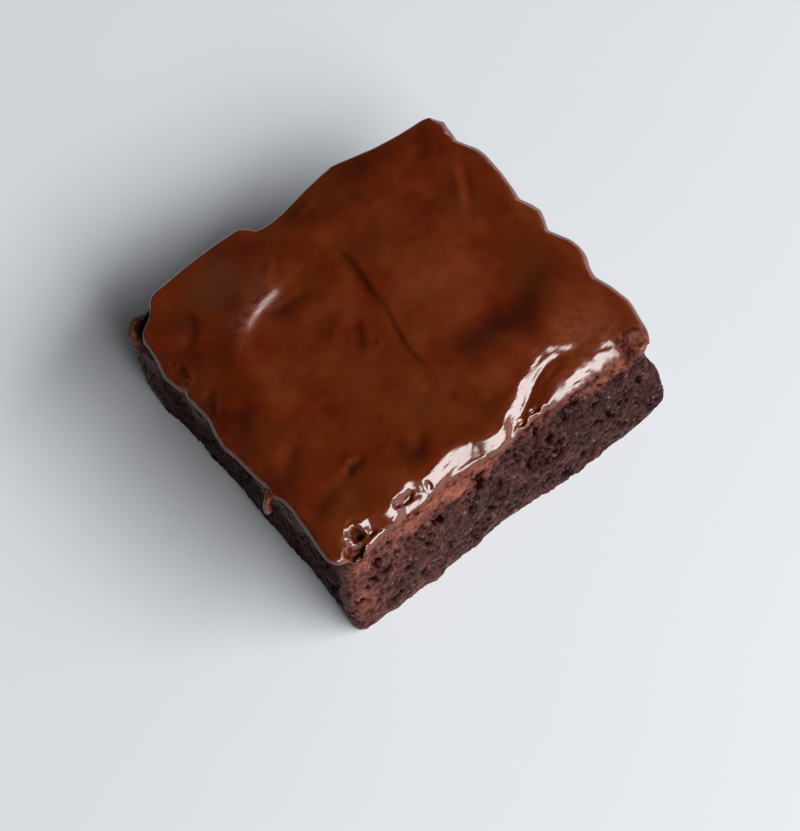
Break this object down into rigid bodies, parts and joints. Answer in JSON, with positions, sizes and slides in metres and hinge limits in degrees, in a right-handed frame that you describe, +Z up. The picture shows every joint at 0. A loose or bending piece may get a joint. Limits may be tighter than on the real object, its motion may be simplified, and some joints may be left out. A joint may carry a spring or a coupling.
{
  "type": "chocolate brownie",
  "caption": "Cut rectangular piece of dark chocolate sponge under a glossy, swirled layer of chocolate icing that rolls over the front edge.",
  "frame": {"origin": "middle of the base, in the middle of the outer box in plan", "axes": "+X along the front cut edge to the right, +Y from the front cut face to the back, +Z up from the base to the icing"},
  "size_m": [0.065, 0.061, 0.026],
  "materials": {
    "sponge": "porous baked crumb, matt",
    "icing": "set chocolate icing, glossy"
  },
  "bodies": {
    "root": {"sponge": "sponge", "icing": "icing"}
  },
  "joints": []
}
